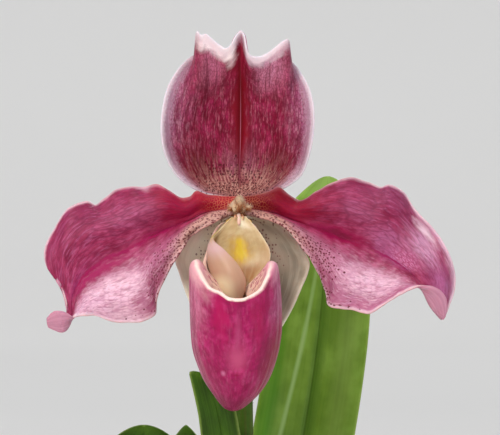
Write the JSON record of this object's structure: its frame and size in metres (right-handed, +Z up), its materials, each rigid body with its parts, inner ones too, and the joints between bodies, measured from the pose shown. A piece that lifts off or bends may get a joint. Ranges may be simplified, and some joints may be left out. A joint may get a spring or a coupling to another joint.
{
  "type": "potted paphiopedilum orchid",
  "caption": "Slipper orchid in flower with strap leaves, growing in bark mix in a plain round terracotta pot that stands on its flat base.",
  "frame": {"origin": "middle of the flat underside of the pot, on the surface that it stands on", "axes": "+Z up, -Y the way the flower faces, +X to the right as seen from in front of the flower"},
  "size_m": [0.1882, 0.1397, 0.2655],
  "materials": {
    "terracotta": "matte",
    "bark": "matte",
    "stem_green": "satin",
    "leaf_green": "satin",
    "petal_rose": "satin",
    "sepal_cream": "satin",
    "pouch_magenta": "satin",
    "staminode_cream": "satin",
    "column_tan": "matte",
    "pollen_yellow": "satin"
  },
  "bodies": {
    "root": {"pot": "terracotta", "potting_mix": "bark", "crown": "stem_green", "leaf_1": "leaf_green", "leaf_2": "leaf_green", "leaf_3": "leaf_green", "leaf_4": "leaf_green", "leaf_5": "leaf_green", "leaf_6": "leaf_green", "leaf_7": "leaf_green", "scape": "stem_green", "bract": "stem_green", "ovary": "stem_green", "dorsal_sepal": "petal_rose", "petal_left": "petal_rose", "petal_right": "petal_rose", "synsepal": "sepal_cream", "pouch": "pouch_magenta", "staminode": "staminode_cream", "column": "column_tan", "pollinium_left": "pollen_yellow", "pollinium_right": "pollen_yellow"}
  },
  "joints": []
}
